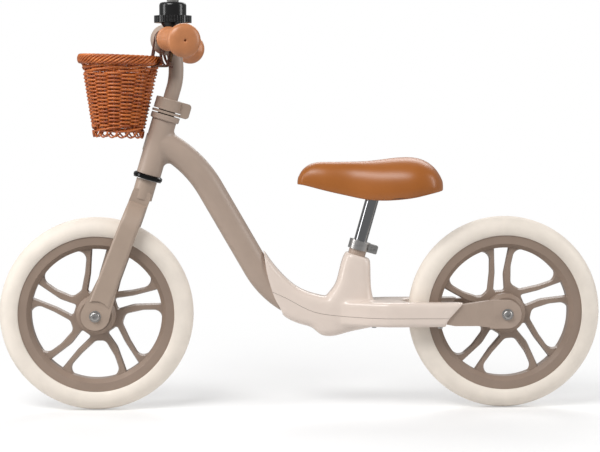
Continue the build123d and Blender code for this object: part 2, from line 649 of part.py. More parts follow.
def saddle_outside():
    """The padded saddle's outer shape."""
    top = Spline((SADDLE_NOSE_X, 0, 340), (-4, 0, 348), (5, 0, 363), (22, 0, 371), (60, 0, 372),
                 (100, 0, 373.2), (150, 0, 378.6), (178, 0, 376.5), (198, 0, 365), (211, 0, 346),
                 (SADDLE_TAIL_X, 0, 331))
    side = side_slab(make_face([top, saddle_underside()]), -80, 80)
    return side & plan_slab(saddle_plan(), 290, 400)


def saddle_parts():
    """The cover, the hard pan with its socket for the post, and the bolt that joins them."""
    low, lifted = saddle_underside(), saddle_underside(PAN_THICKNESS)
    face = make_face([low, Line(low @ 1, lifted @ 1), lifted, Line(lifted @ 0, low @ 0)])
    pan = side_slab(face, -80, 80) & plan_slab(saddle_plan(PAN_INSET), 290, 400)
    pan += SEAT * rod(15.0, 68, POST_TOP + 4) & plan_slab(saddle_plan(), 316, 400)
    pan -= SEAT * rod(POST_RADIUS, 40, POST_TOP)
    bolt = SEAT * (rod(4.0, POST_TOP - 18, POST_TOP + 4) + rod(6.5, POST_TOP + 4, POST_TOP + 9))
    pan -= bolt
    post = SEAT * (ring(POST_RADIUS, POST_INNER_RADIUS, POST_BOTTOM, POST_TOP)
                   + ring(POST_INNER_RADIUS, 4.0, POST_TOP - 18, POST_TOP))
    plug = rod(POST_INNER_RADIUS, POST_BOTTOM, POST_BOTTOM + 8) + rod(9.6, POST_BOTTOM - 2.5, POST_BOTTOM)
    node("saddle_cover", saddle_outside() - pan - bolt - SEAT * rod(POST_RADIUS, 40, POST_TOP))
    node("saddle_pan", pan)
    node("saddle_bolt", bolt)
    node("seat_post", post)
    node("seat_post_plug", SEAT * plug)


# ------------------------------------------------------------------ assembly
def build():
    node("frame", frame())
    covers()
    node("cover_screws", cover_screws())
    NODES["frame"] -= NODES["cover_screws"]
    NODES["lower_cover"] -= NODES["cover_screws"]
    node("seat_clamp", seat_clamp())
    bolt, nut = pinch_bolt(SEAT, 22.5, SEAT_TUBE_TOP - 2.0, 7.5)
    node("seat_clamp_bolt", bolt)
    node("seat_clamp_nut", nut)
    headset()
    node("head_badge", head_badge())
    node("fork", fork())
    steering_fittings()
    for name, x, turn in (("front", FRONT_X, FRONT_PATTERN_TURN), ("rear", REAR_X, REAR_PATTERN_TURN)):
        wheel(name, x, turn)
        axle_set(name, x)
    node("handlebar", handlebar())
    node("grip_left", grip(-1))
    node("grip_right", grip(1))
    node("bell_base", bell_base())
    node("bell_ring", bell_ring())
    node("bell_dome", bell_dome())
    node("bell_knob", bell_knob())
    node("basket", basket())
    for side, name in ((-1, "left"), (1, "right")):
        node("basket_strap_" + name, strap(side))
        node("strap_buckle_" + name, buckle(side))
    saddle_parts()


build()
os.makedirs("parts", exist_ok=True)
for name, shape in NODES.items():
    export_step(shape, "parts/" + name + ".step")
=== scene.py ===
import math

import bmesh
import bpy
import numpy as np
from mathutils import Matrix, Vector

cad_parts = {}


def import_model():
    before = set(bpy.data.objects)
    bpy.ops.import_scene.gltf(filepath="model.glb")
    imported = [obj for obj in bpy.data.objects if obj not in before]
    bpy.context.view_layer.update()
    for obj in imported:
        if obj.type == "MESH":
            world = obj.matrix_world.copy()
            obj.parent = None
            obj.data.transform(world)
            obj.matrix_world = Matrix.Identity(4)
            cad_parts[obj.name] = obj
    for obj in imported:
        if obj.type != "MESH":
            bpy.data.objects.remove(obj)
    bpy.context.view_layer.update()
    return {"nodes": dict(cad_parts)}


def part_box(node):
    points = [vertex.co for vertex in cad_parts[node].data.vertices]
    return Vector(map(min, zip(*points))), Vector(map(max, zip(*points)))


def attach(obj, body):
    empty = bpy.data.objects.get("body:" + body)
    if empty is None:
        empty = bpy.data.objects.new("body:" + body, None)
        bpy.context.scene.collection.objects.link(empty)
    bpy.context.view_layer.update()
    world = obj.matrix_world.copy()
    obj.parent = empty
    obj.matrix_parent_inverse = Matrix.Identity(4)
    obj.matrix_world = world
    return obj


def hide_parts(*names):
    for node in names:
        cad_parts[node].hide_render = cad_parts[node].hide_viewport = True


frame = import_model()
NODES = frame["nodes"]
MM = 0.001

# ---------------------------------------------------------------- shared dimensions, in millimetres
WHEEL_RADIUS = 145.0
TYRE_SECTION_RADIUS = 19.2
TYRE_SECTION_CENTRE = WHEEL_RADIUS - TYRE_SECTION_RADIUS
RIM_EDGE_RADIUS = 116.5
RIM_CHANNEL_RADIUS = 108.0
RIM_CHANNEL_HALF = 12.7
TREAD_WAVES = 82
TREAD_GROOVES = (-9.0, -4.5, 0.0, 4.5, 9.0)
TREAD_DEPTH = 0.75

BASKET_ORIGIN = (-273.0, 0.0, 417.0)
BASKET_LEAN = 1.9
BASKET_FOOT = 39.0
BASKET_TOP = 59.0
BASKET_LEVEL = 107.0
STAKES = 15
ROW_PITCH = 2.67
WEFT = 1.62
STAKE = 1.5

BAR_CENTRE = (-204.4, 554.2)
BAR_RADIUS = 11.1
STRAP_Y = 27.0
STRAP_WIDTH = 12.0
STRAP_THICKNESS = 2.2
STRAP_TAIL = ((-203.5, 540.5), (-204.0, 532.0), (-202.0, 524.0), (-198.0, 517.0), (-193.0, 513.0),
              (-190.5, 514.0))
STRAP_FOLD = ((-208.5, 540.0), (-209.0, 530.0), (-207.0, 521.5), (-203.0, 515.8))

GRIP_START = (-194.6, 105.0, 551.7)
GRIP_END = (-168.0, 205.0, 545.8)

SADDLE_PLAN = ((-6, 0), (-5, 8), (-2, 14), (4, 19), (32, 25.5), (74, 29.5), (118, 46), (162, 58), (190, 54),
               (204, 41), (211, 22), (213, 0))
SADDLE_TOP = ((-6, 340), (-4, 350), (5, 363), (22, 371), (60, 372), (100, 373.2), (150, 378.6), (178, 376.5),
              (198, 365), (211, 346), (213, 333))
SADDLE_EDGE = ((-6, 339), (5, 337.6), (35, 330), (66, 323), (94, 317.6), (125, 316.2), (161, 319.8),
               (191, 326.3), (213, 330.6))

# covers: outlines in X and Z
COVER_SEAM = ((-44.0, 178.0), (-21.0, 167.5), (-1.4, 156.5), (18.0, 147.8), (42.0, 143.0), (85.0, 140.6),
              (219.0, 140.0))
COVER_FRONT = ((-28.0, 144.0), (-30.5, 150.0), (-41.5, 171.5), (-52.0, 206.7), (-57.0, 243.0))
COVER_ABOVE = ((-50.0, 265.0), (40.0, 245.6), (104.5, 225.4), (128.0, 200.0), (128.0, 172.0),
               (246.0, 172.0))
COVER_REAR = ((214.0, 129.0), (217.8, 138.5), (239.0, 162.0))
SEAM_GAP = 0.5
COVER_FLOOR = 95.0
COVER_FLOOR_ENDS = (-26.0, 214.0)
SEAM_CLEAR_FRONT = (176.0, 180.0)
SEAM_CLEAR_REAR = (138.5, 141.5)
COVER_VOXEL = 1.8
COVER_EASE_STEPS = 26
COVER_SWELL = 0.9
COVER_CREASE = 50.0

WORLD_FILL = 0.34
FLOOR_RADIUS = 40.0
CAMERA_PLACE = (-0.110, -2.600, 0.462)
CAMERA_PAN = 2.383
CAMERA_TILT = 4.098
CAMERA_LENS = 104.08


# ---------------------------------------------------------------- meshes
def solid(name, verts, faces, material, body, smooth=True):
    """A mesh object from points in millimetres that rides on a body and takes a material slot's finish."""
    mesh = bpy.data.meshes.new(name)
    points = [tuple(v) for v in np.asarray(verts, float) * MM]
    mesh.from_pydata(points, [], [tuple(int(i) for i in f) for f in faces])
    mesh.validate()
    outward = bmesh.new()
    outward.from_mesh(mesh)
    bmesh.ops.recalc_face_normals(outward, faces=outward.faces)
    outward.to_mesh(mesh)
    outward.free()
    mesh.polygons.foreach_set("use_smooth", [smooth] * len(mesh.polygons))
    mesh.materials.append(material)
    obj = bpy.data.objects.new(name, mesh)
    bpy.context.scene.collection.objects.link(obj)
    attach(obj, body)
    return obj


class Bundle:
    """Several closed shapes gathered into one mesh."""

    def __init__(self):
        self.verts, self.faces, self.count = [], [], 0

    def add(self, verts, faces):
        self.verts.append(np.asarray(verts, float))
        self.faces += [[i + self.count for i in f] for f in faces]
        self.count += len(verts)

    def placed(self, matrix):
        points = np.vstack(self.verts)
        return points @ matrix[:3, :3].T + matrix[:3, 3]


def grid_faces(rows, columns, wrap_rows=False, wrap_columns=True, start=0):
    """Quads between neighbouring rows and columns of a grid of points."""
    faces = []
    for i in range(rows if wrap_rows else rows - 1):
        a, b = start + i * columns, start + ((i + 1) % rows) * columns
        for j in range(columns if wrap_columns else columns - 1):
            k = (j + 1) % columns
            faces.append([a + j, a + k, b + k, b + j])
    return faces


def tube(path, radius, sides=8, closed=False, flat=1.0):
    """A rod along a path, round or flattened, with domed ends when it is open."""
    path = np.asarray(path, float)
    radii = np.broadcast_to(np.asarray(radius, float), (len(path),)).copy()
    if closed:
        ahead = np.roll(path, -1, 0) - np.roll(path, 1, 0)
    else:
        ahead = np.gradient(path, axis=0)
    ahead /= np.linalg.norm(ahead, axis=1)[:, None]
    side = np.cross(ahead[0], (0.0, 0.0, 1.0))
    if np.linalg.norm(side) < 0.1:
        side = np.cross(ahead[0], (1.0, 0.0, 0.0))
    frames = []
    for t in ahead:
        side = side - t * (side @ t)
        side /= np.linalg.norm(side)
        frames.append((side, np.cross(t, side)))
    angles = np.linspace(0, 2 * math.pi, sides, endpoint=False)
    twist = 0.0
    if closed:
        s0, n0 = frames[0]
        last = frames[-1][0] - ahead[0] * (frames[-1][0] @ ahead[0])
        twist = math.atan2(last @ n0, last @ s0)
    rings = []
    for i, (p, (s, n), r) in enumerate(zip(path, frames, radii)):
        a = angles - twist * i / len(path)
        rings.append(p + r * (np.cos(a)[:, None] * s + flat * np.sin(a)[:, None] * n))
    verts = np.vstack(rings)
    faces = grid_faces(len(path), sides, wrap_rows=closed)
    if not closed:
        tips = np.array([path[0] - ahead[0] * radii[0] * 0.5, path[-1] + ahead[-1] * radii[-1] * 0.5])
        base, end = len(verts), len(verts) - sides
        verts = np.vstack([verts, tips])
        for j in range(sides):
            k = (j + 1) % sides
            faces.append([k, j, base])
            faces.append([end + j, end + k, base + 1])
    return verts, faces


def curve(points, count, closed=False):
    """Evenly spaced points on a smooth line through the given ones (Catmull-Rom)."""
    p = np.asarray(points, float)
    n = len(p)
    padded = np.vstack([p[-1:], p, p[:2]]) if closed else np.vstack([2 * p[0] - p[1], p, 2 * p[-1] - p[-2]])
    fine = []
    spans = n if closed else n - 1
    for i in range(spans):
        a, b, c, d = padded[i:i + 4]
        for t in np.linspace(0, 1, 24, endpoint=False):
            fine.append(0.5 * (2 * b + (c - a) * t + (2 * a - 5 * b + 4 * c - d) * t * t
                               + (3 * b - a - 3 * c + d) * t ** 3))
    fine.append(p[0] if closed else p[-1])
    fine = np.array(fine)
    run = np.concatenate([[0], np.cumsum(np.linalg.norm(np.diff(fine, axis=0), axis=1))])
    at = np.linspace(0, run[-1], count, endpoint=not closed)
    return np.column_stack([np.interp(at, run, fine[:, k]) for k in range(p.shape[1])])


def read(points, x):
    """The height of a smooth line through (x, value) points, read at x."""
    fine = curve(points, 400)
    order = np.argsort(fine[:, 0])
    return np.interp(x, fine[order, 0], fine[order, 1])


def lathe(profile, sides):
    """A turned shape about local Z from (radius, height) points; the first and last lie on the axis."""
    profile = np.asarray(profile, float)
    inner = profile[1:-1]
    a = np.linspace(0, 2 * math.pi, sides, endpoint=False)
    rings = [np.column_stack([r * np.cos(a), r * np.sin(a), np.full(sides, z)]) for r, z in inner]
    verts = np.vstack(rings + [[[0, 0, profile[0][1]], [0, 0, profile[-1][1]]]])
    faces = grid_faces(len(inner), sides)
    base, top = len(verts) - 2, len(verts) - 1
    end = (len(inner) - 1) * sides
    for j in range(sides):
        k = (j + 1) % sides
        faces.append([k, j, base])
        faces.append([end + j, end + k, top])
    return verts, faces


def leaning(origin, angle):
    """The place of a local frame whose Z leans to the rear by angle degrees."""
    a = math.radians(angle)
    m = np.eye(4)
    m[:3, 0] = (math.cos(a), 0, -math.sin(a))
    m[:3, 1] = (0, 1, 0)
    m[:3, 2] = (math.sin(a), 0, math.cos(a))
    m[:3, 3] = origin
    return m


# ---------------------------------------------------------------- materials
def linear(rgb):
    """An sRGB colour in 0-255 as the linear colour that shaders take."""
    out = [(c / 255 + 0.055) / 1.055 for c in rgb]
    return tuple(o ** 2.4 if c > 10 else c / 255 / 12.92 for o, c in zip(out, rgb)) + (1.0,)


def surface(name, rgb, rough, *, other=None, metallic=0.0, mottle=0.05, mottle_scale=40.0, stretch=(1, 1, 1),
            rough_spread=0.05, bump=0.1, bump_scale=1500.0, bump_kind="noise"):
    """A procedural finish: mottled colour, uneven roughness and a fine relief of bump millimetres."""
    material = bpy.data.materials.new(name)
    material.use_nodes = True
    tree = material.node_tree
    shader = tree.nodes["Principled BSDF"]
    shader.inputs["Metallic"].default_value = metallic
    place = tree.nodes.new("ShaderNodeTexCoord")
    mapping = tree.nodes.new("ShaderNodeMapping")
    mapping.inputs["Scale"].default_value = stretch
    tree.links.new(place.outputs["Object"], mapping.inputs["Vector"])

    noise = tree.nodes.new("ShaderNodeTexNoise")
    noise.inputs["Scale"].default_value = mottle_scale
    noise.inputs["Detail"].default_value = 5.0
    tree.links.new(mapping.outputs["Vector"], noise.inputs["Vector"])
    ramp = tree.nodes.new("ShaderNodeValToRGB")
    base = linear(rgb)
    dark = linear(other) if other else tuple(c * (1 - 2 * mottle) for c in base[:3]) + (1.0,)
    light = base if other else tuple(min(1.0, c * (1 + mottle)) for c in base[:3]) + (1.0,)
    ramp.color_ramp.elements[0].position = 0.3
    ramp.color_ramp.elements[1].position = 0.7
    ramp.color_ramp.elements[0].color = dark
    ramp.color_ramp.elements[1].color = light
    tree.links.new(noise.outputs["Fac"], ramp.inputs["Fac"])
    tree.links.new(ramp.outputs["Color"], shader.inputs["Base Color"])

    spread = tree.nodes.new("ShaderNodeMapRange")
    spread.inputs["To Min"].default_value = rough - rough_spread
    spread.inputs["To Max"].default_value = rough + rough_spread
    tree.links.new(noise.outputs["Fac"], spread.inputs["Value"])
    tree.links.new(spread.outputs["Result"], shader.inputs["Roughness"])

    if bump_kind == "pebble":
        relief = tree.nodes.new("ShaderNodeTexVoronoi")
        relief.feature = "SMOOTH_F1"
        height = relief.outputs["Distance"]
    else:
        relief = tree.nodes.new("ShaderNodeTexNoise")
        relief.inputs["Detail"].default_value = 3.0
        height = relief.outputs["Fac"]
    relief.inputs["Scale"].default_value = bump_scale
    tree.links.new(mapping.outputs["Vector"], relief.inputs["Vector"])
    bumps = tree.nodes.new("ShaderNodeBump")
    bumps.inputs["Distance"].default_value = bump * MM
    tree.links.new(height, bumps.inputs["Height"])
    tree.links.new(bumps.outputs["Normal"], shader.inputs["Normal"])
    return material


def materials():
    """Every finish of the bicycle, by the record's slot name."""
    taupe = (170, 151, 137)
    return {
        "frame_paint": surface("frame_paint", taupe, 0.4, mottle=0.02, bump=0.012, bump_scale=1800),
        "fork_paint": surface("fork_paint", (166, 147, 132), 0.4, mottle=0.02, bump=0.012, bump_scale=1800),
        "bar_paint": surface("bar_paint", taupe, 0.46, mottle=0.02, bump=0.05, bump_scale=1800),
        "cover_plastic": surface("cover_plastic", (222, 207, 196), 0.24, mottle=0.012, bump=0.03,
                                 bump_scale=900),
        "rim_plastic": surface("rim_plastic", (146, 127, 113), 0.38, mottle=0.025, bump=0.06,
                               bump_scale=1400),
        "tyre": surface("tyre", (233, 223, 211), 0.6, mottle=0.03, bump=0.12, bump_scale=900),
        "steel": surface("steel", (178, 176, 174), 0.34, metallic=1.0, mottle=0.05, stretch=(1, 1, 12),
                         bump=0.02, bump_scale=600),
        "black_steel": surface("black_steel", (30, 30, 31), 0.16, metallic=0.7, mottle=0.08, bump=0.01),
        # chrome's base colour is darkened as painted shade: it stands in for the dark surroundings reflected
        # in the seat post's centre
        "chrome": surface("chrome", (150, 151, 153), 0.08, metallic=1.0, mottle=0.02, rough_spread=0.03,
                          bump=0.004, bump_scale=300),
        "grip": surface("grip", (192, 126, 82), 0.34, mottle=0.05, mottle_scale=90, bump=0.05,
                        bump_kind="pebble", bump_scale=900),
        "bell_plastic": surface("bell_plastic", (17, 17, 17), 0.24, mottle=0.06, bump=0.02),
        "bell_knob": surface("bell_knob", (118, 117, 114), 0.4, mottle=0.05, bump=0.04),
        "wicker": surface("wicker", (210, 120, 54), 0.34, other=(146, 66, 28), mottle_scale=30,
                          stretch=(1, 1, 8), rough_spread=0.08, bump=0.12, bump_scale=700),
        "strap_leather": surface("strap_leather", (84, 40, 24), 0.46, mottle=0.12,
                                 mottle_scale=120, bump=0.14, bump_kind="pebble", bump_scale=1200),
        "buckle_metal": surface("buckle_metal", (92, 72, 52), 0.36, metallic=1.0, mottle=0.15,
                                mottle_scale=200, bump=0.03),
        "saddle_cover": surface("saddle_cover", (170, 101, 40), 0.36, other=(154, 88, 31), mottle_scale=9,
                                bump=0.042, bump_kind="pebble", bump_scale=1000, rough_spread=0.04),
        "saddle_pan": surface("saddle_pan", (34, 33, 32), 0.6, mottle=0.1, bump=0.1),
        "badge": surface("badge", (190, 178, 166), 0.4, metallic=0.6, mottle=0.03, bump=0.02),
        "thread": surface("thread", (176, 140, 100), 0.7, mottle=0.1, mottle_scale=400, bump=0.05),
    }


def paint_cad(finish):
    """Each CAD piece that stays in view takes the finish of its slot in the record."""
    for obj in NODES.values():
        if obj.material_slots and obj.material_slots[0].material:
            slot = obj.material_slots[0].material.name.split(".")[0]
            if slot in finish:
                for s in obj.material_slots:
                    s.link = "OBJECT"
                    s.material = finish[slot]


# ---------------------------------------------------------------- wheels
def tyre_section():
    """The closed outline of a tyre: (radius from the axle, sideways place, share of tread relief)."""
    points = [(RIM_CHANNEL_RADIUS, -RIM_CHANNEL_HALF, 0), (RIM_EDGE_RADIUS - 1.2, -RIM_CHANNEL_HALF, 0),
              (RIM_EDGE_RADIUS + 0.4, -RIM_CHANNEL_HALF - 1.5, 0)]
    reach = math.radians(119)
    for a in np.linspace(-reach, reach, 73):
        y = TYRE_SECTION_RADIUS * math.sin(a)
        tread = 1.0 if abs(a) < math.radians(42) else 0.0
        points.append((TYRE_SECTION_CENTRE + TYRE_SECTION_RADIUS * math.cos(a), y, tread))
    points += [(RIM_EDGE_RADIUS + 0.4, RIM_CHANNEL_HALF + 1.5, 0), (RIM_EDGE_RADIUS - 1.2,
                                                                    RIM_CHANNEL_HALF, 0),
               (RIM_CHANNEL_RADIUS, RIM_CHANNEL_HALF, 0)]
    return np.array(points)


def tyre(name, axle_x, finish):
    """A foam tyre with zigzag grooves pressed round its crown."""
    section = tyre_section()
    steps = TREAD_WAVES * 8
    verts = []
    for i in range(steps):
        turn = 2 * math.pi * i / steps
        wave = 2 / math.pi * math.asin(math.sin(TREAD_WAVES * turn)) * 1.3
        relief = np.zeros(len(section))
        for groove in TREAD_GROOVES:
            off = np.abs(section[:, 1] - groove - wave)
            relief += np.clip(1 - off / 1.0, 0, 1)
        r = section[:, 0] - TREAD_DEPTH * np.clip(relief, 0, 1) * section[:, 2]
        x, z = axle_x + r * math.cos(turn), WHEEL_RADIUS + r * math.sin(turn)
        verts.append(np.column_stack([x, section[:, 1], z]))
    faces = grid_faces(steps, len(section), wrap_rows=True)
    body = name + "_wheel"
    obj = solid(name + "_tyre_tread", np.vstack(verts), [f[::-1] for f in faces], finish["tyre"],
                body)
    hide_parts(name + "_tyre")


# ---------------------------------------------------------------- basket
def wall_radius(z):
    """The radius of the basket's outside at a height above its floor."""
    return BASKET_FOOT + (BASKET_TOP - BASKET_FOOT) * z / BASKET_LEVEL


def stake_radius(z):
    return wall_radius(z) - 2 * WEFT - STAKE + 0.4


def weave(basket, low, high, period, strands, rise=0.0, radius=WEFT):
    """Rods that spiral up the wall, in front of and behind the stakes in turn."""
    rows = max(1, round((high - low) / (ROW_PITCH * strands)))
    count = int(rows * STAKES * 10)
    turn = np.linspace(0, 2 * math.pi * rows, count)
    for s in range(strands):
        phase = STAKES * turn / period - (2 * math.pi * s / strands if strands > 1 else 0.0)
        start = s * ROW_PITCH
        z = low + start + (high - low - ROW_PITCH * (strands - 1)) * turn / turn[-1]
        z = z + rise * np.sin(phase)
        swing = np.cos(phase)
        swing = np.sign(swing) * np.abs(swing) ** 0.5
        r = stake_radius(z) + (STAKE + WEFT * 0.8) * swing
        path = np.column_stack([r * np.cos(turn), r * np.sin(turn), z])
        thick = radius * (1 + 0.05 * np.sin(turn * 3.1 + s))
        basket.add(*tube(path, thick, sides=8))


def stakes(basket):
    """The upright rods, one at each place where the weave turns outwards."""
    for k in range(STAKES):
        a = 2 * math.pi * k / STAKES
        z = np.linspace(1.0, BASKET_LEVEL - 3, 10)
        r = stake_radius(z)
        basket.add(*tube(np.column_stack([r * math.cos(a), r * math.sin(a), z]), STAKE, sides=8))


def border(basket):
    """The rolled rim: seven rods laid slantwise round a core."""
    major = BASKET_TOP + 0.6
    turn = np.linspace(0, 2 * math.pi, 420, endpoint=False)
    inner = major - 0.2
    core = np.column_stack([inner * np.cos(turn), inner * np.sin(turn), np.full(len(turn), BASKET_LEVEL)])
    basket.add(*tube(core[::4], 2.2, sides=10, closed=True, flat=2.6))
    strands, turns = 7, 7
    for s in range(strands):
        around = turns * turn + 2 * math.pi * s / strands
        r = major + 2.5 * np.cos(around)
        z = BASKET_LEVEL + 5.6 * np.sin(around)
        rod = np.column_stack([r * np.cos(turn), r * np.sin(turn), z])
        basket.add(*tube(rod, 1.75, sides=8, closed=True))


def feet(basket):
    """The open scalloped loops that the rods make below the floor."""
    loops = 16
    reach = BASKET_FOOT - 2.6
    for k in range(loops):
        middle = 2 * math.pi * (k + 0.5) / loops
        half = 2 * math.pi / loops * 0.62
        t = np.linspace(-1, 1, 17)
        a = middle + half * t
        z = 1.5 - 9.2 * np.cos(t * math.pi / 2) ** 0.7
        r = reach + 1.3 * t
        basket.add(*tube(np.column_stack([r * np.cos(a), r * np.sin(a), z]), 1.25, sides=8))


def floor_weave(basket):
    """The round floor: crossed sticks with a rod woven round them."""
    sticks = 12
    for k in range(sticks // 2):
        a = math.pi * k / (sticks // 2)
        ends = np.outer(np.linspace(-1, 1, 7), (math.cos(a), math.sin(a), 0)) * (BASKET_FOOT - 3.5)
        ends[:, 2] = 2.4 + 0.25 * (k % 3 - 1)
        basket.add(*tube(ends, 1.25, sides=8))
    rows = 13
    turn = np.linspace(0, 2 * math.pi * rows, rows * 80)
    r = 4.5 + (BASKET_FOOT - 9) * turn / turn[-1]
    z = 2.4 + 1.5 * np.cos((sticks + 1) * turn / 2)
    basket.add(*tube(np.column_stack([r * np.cos(turn), r * np.sin(turn), z]), 1.15, sides=7))


def basket(finish):
    """The woven basket, built rod by rod."""
    made = Bundle()
    stakes(made)
    weave(made, 1.2, 7.0, 3, 3, rise=0.8, radius=1.45)
    weave(made, 7.8, 87.5, 2, 1)
    weave(made, 86.3, 102.0, 3, 3, rise=0.9, radius=1.6)
    border(made)
    feet(made)
    floor_weave(made)
    place = leaning(BASKET_ORIGIN, BASKET_LEAN)
    obj = solid("basket_woven", made.placed(place), made.faces, finish["wicker"], "handlebar")
    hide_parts("basket")


# ---------------------------------------------------------------- straps
def hull_path(grow, count):
    """The closed line of a strap, in X and Z, drawn tight round the bar and the basket's rim."""
    circles = ((*BAR_CENTRE, BAR_RADIUS), (-202.0, 518.5, 2.5), (-219.5, 518.5, 2.5))
    angles = np.linspace(0, 2 * math.pi, 720, endpoint=False)
    normals = np.column_stack([np.cos(angles), np.sin(angles)])
    reach = np.array([normals @ (x, z) + r + grow for x, z, r in circles])
    best = reach.argmax(0)
    points = [(circles[b][0] + (circles[b][2] + grow) * n[0], circles[b][1] + (circles[b][2] + grow) * n[1])
              for b, n in zip(best, normals)]
    points = np.array(points)
    loop = np.vstack([points, points[:1]])
    run = np.concatenate([[0], np.cumsum(np.linalg.norm(np.diff(loop, axis=0), axis=1))])
    at = np.linspace(0, run[-1], count, endpoint=False)
    return np.column_stack([np.interp(at, run, loop[:, 0]), np.interp(at, run, loop[:, 1])])


def band(path, closed, y, width, thickness):
    """A flat strip with rounded edges that follows a path in X and Z."""
    ahead = np.roll(path, -1, 0) - np.roll(path, 1, 0) if closed else np.gradient(path, axis=0)
    ahead /= np.linalg.norm(ahead, axis=1)[:, None]
    out = np.column_stack([ahead[:, 1], -ahead[:, 0]])
    edge, half = thickness / 2, width / 2
    section = [(u, -edge) for u in np.linspace(-half + edge, half - edge, 7)]
    section += [(half - edge + edge * math.cos(a), edge * math.sin(a)) for a in np.radians((-45, 0, 45))]
    section += [(u, edge) for u in np.linspace(half - edge, -half + edge, 7)]
    section += [(-half + edge - edge * math.cos(a), edge * math.sin(a)) for a in np.radians((45, 0, -45))]
    rings = []
    for (x, z), (ox, oz) in zip(path, out):
        rings.append([(x + ox * v, y + u, z + oz * v) for u, v in section])
    verts = np.vstack(rings)
    n = len(section)
    faces = grid_faces(len(path), n, wrap_rows=closed)
    if not closed:
        faces.append(list(range(n))[::-1])
        faces.append(list(range(len(verts) - n, len(verts))))
    return verts, faces


def strap(side, name, finish):
    """A leather loop with stitched edges, its tail through the buckle, and a keeper."""
    y = side * STRAP_Y
    made, threads = Bundle(), Bundle()
    loop = hull_path(STRAP_THICKNESS / 2, 90)
    made.add(*band(loop, True, y, STRAP_WIDTH, STRAP_THICKNESS))
    outer = hull_path(STRAP_THICKNESS * 1.5, 180)
    rear = outer[(outer[:, 0] > -200) & (outer[:, 1] > 517) & (outer[:, 1] < 543)]
    rear = rear[np.argsort(rear[:, 1])]
    made.add(*band(rear, False, y, STRAP_WIDTH - 1.5, STRAP_THICKNESS * 0.8))
    made.add(*band(curve(STRAP_TAIL, 40), False, y, STRAP_WIDTH - 0.6, STRAP_THICKNESS))
    made.add(*band(curve(STRAP_FOLD, 40), False, y, STRAP_WIDTH - 0.6, STRAP_THICKNESS))
    skin = hull_path(STRAP_THICKNESS + 0.02, 64)
    for k in range(64):
        a, b = skin[k], skin[(k + 1) % 64]
        for edge in (-1, 1):
            v = y + edge * (STRAP_WIDTH / 2 - 1.7)
            ends = [a + (b - a) * t for t in (0.2, 0.5, 0.8)]
            threads.add(*tube([(p[0], v, p[1]) for p in ends], 0.28, sides=6))
    body = solid(f"{name}_leather", np.vstack(made.verts), made.faces, finish["strap_leather"],
                 "handlebar")
    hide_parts(name)
    solid(f"{name}_stitches", np.vstack(threads.verts), threads.faces, finish["thread"],
          "handlebar")


def buckle(side, name, finish):
    """A bent wire frame with a prong across it."""
    low, high = (np.array(c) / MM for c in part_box(name))
    middle = (low + high) / 2
    place = leaning(middle, 9.0)
    half_y, half_z, corner = 8.0, 6.4, 2.4
    path = []
    for cy, cz, start in ((1, 1, 0), (-1, 1, 90), (-1, -1, 180), (1, -1, 270)):
        for a in np.radians(np.linspace(start, start + 90, 6)):
            path.append((0, cy * (half_y - corner) + corner * math.cos(a),
                         cz * (half_z - corner) + corner * math.sin(a)))
    made = Bundle()
    made.add(*tube(curve(path, 64, closed=True), 1.1, sides=10, closed=True))
    made.add(*tube([(0.3, 0, -half_z), (1.0, 0, -2), (1.2, 0, 2), (1.1, 0, half_z + 1.2)], 0.8, sides=8))
    made.add(*tube([(0, -2.2, -half_z), (0, 2.2, -half_z)], 1.7, sides=12))
    obj = solid(f"{name}_wire", made.placed(place), made.faces, finish["buckle_metal"],
                "handlebar")
    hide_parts(name)


# ---------------------------------------------------------------- grips
def grip(side, name, finish):
    """A soft sleeve with broad rings, a step and a domed knob with a small dimple."""
    start = np.array((GRIP_START[0], side * GRIP_START[1], GRIP_START[2]))
    end = np.array((GRIP_END[0], side * GRIP_END[1], GRIP_END[2]))
    profile = [(0, 0.0), (15.4, 0.0), (17.0, 0.6), (17.5, 1.6), (17.2, 2.8), (15.9, 3.6)]
    pitch = 6.0
    for k in range(13):
        s = 4.4 + pitch * k
        profile += [(15.2, s), (15.7, s + 1.0), (15.9, s + 2.5), (15.7, s + 4.0), (15.2, s + 5.0),
                    (14.6, s + 5.3), (14.6, s + 5.7)]
    profile += [(15.6, 83.2), (16.2, 84.6), (18.4, 87.0), (21.2, 89.6), (22.9, 92.4), (23.5, 95.4),
                (23.4, 98.2), (22.4, 100.6), (20.0, 102.8), (16.0, 104.4), (11.0, 105.2), (5.0, 105.5),
                (2.4, 105.4), (1.6, 104.8), (1.4, 101.0), (0, 100.8)]
    verts, faces = lathe(profile, 64)
    w = (end - start) / np.linalg.norm(end - start)
    u = np.cross((0, 0, 1.0), w)
    u /= np.linalg.norm(u)
    m = np.eye(4)
    m[:3, 0], m[:3, 1], m[:3, 2], m[:3, 3] = u, np.cross(w, u), w, start
    obj = solid(name + "_ringed", verts @ m[:3, :3].T + m[:3, 3], faces, finish["grip"], "handlebar")
    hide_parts(name)


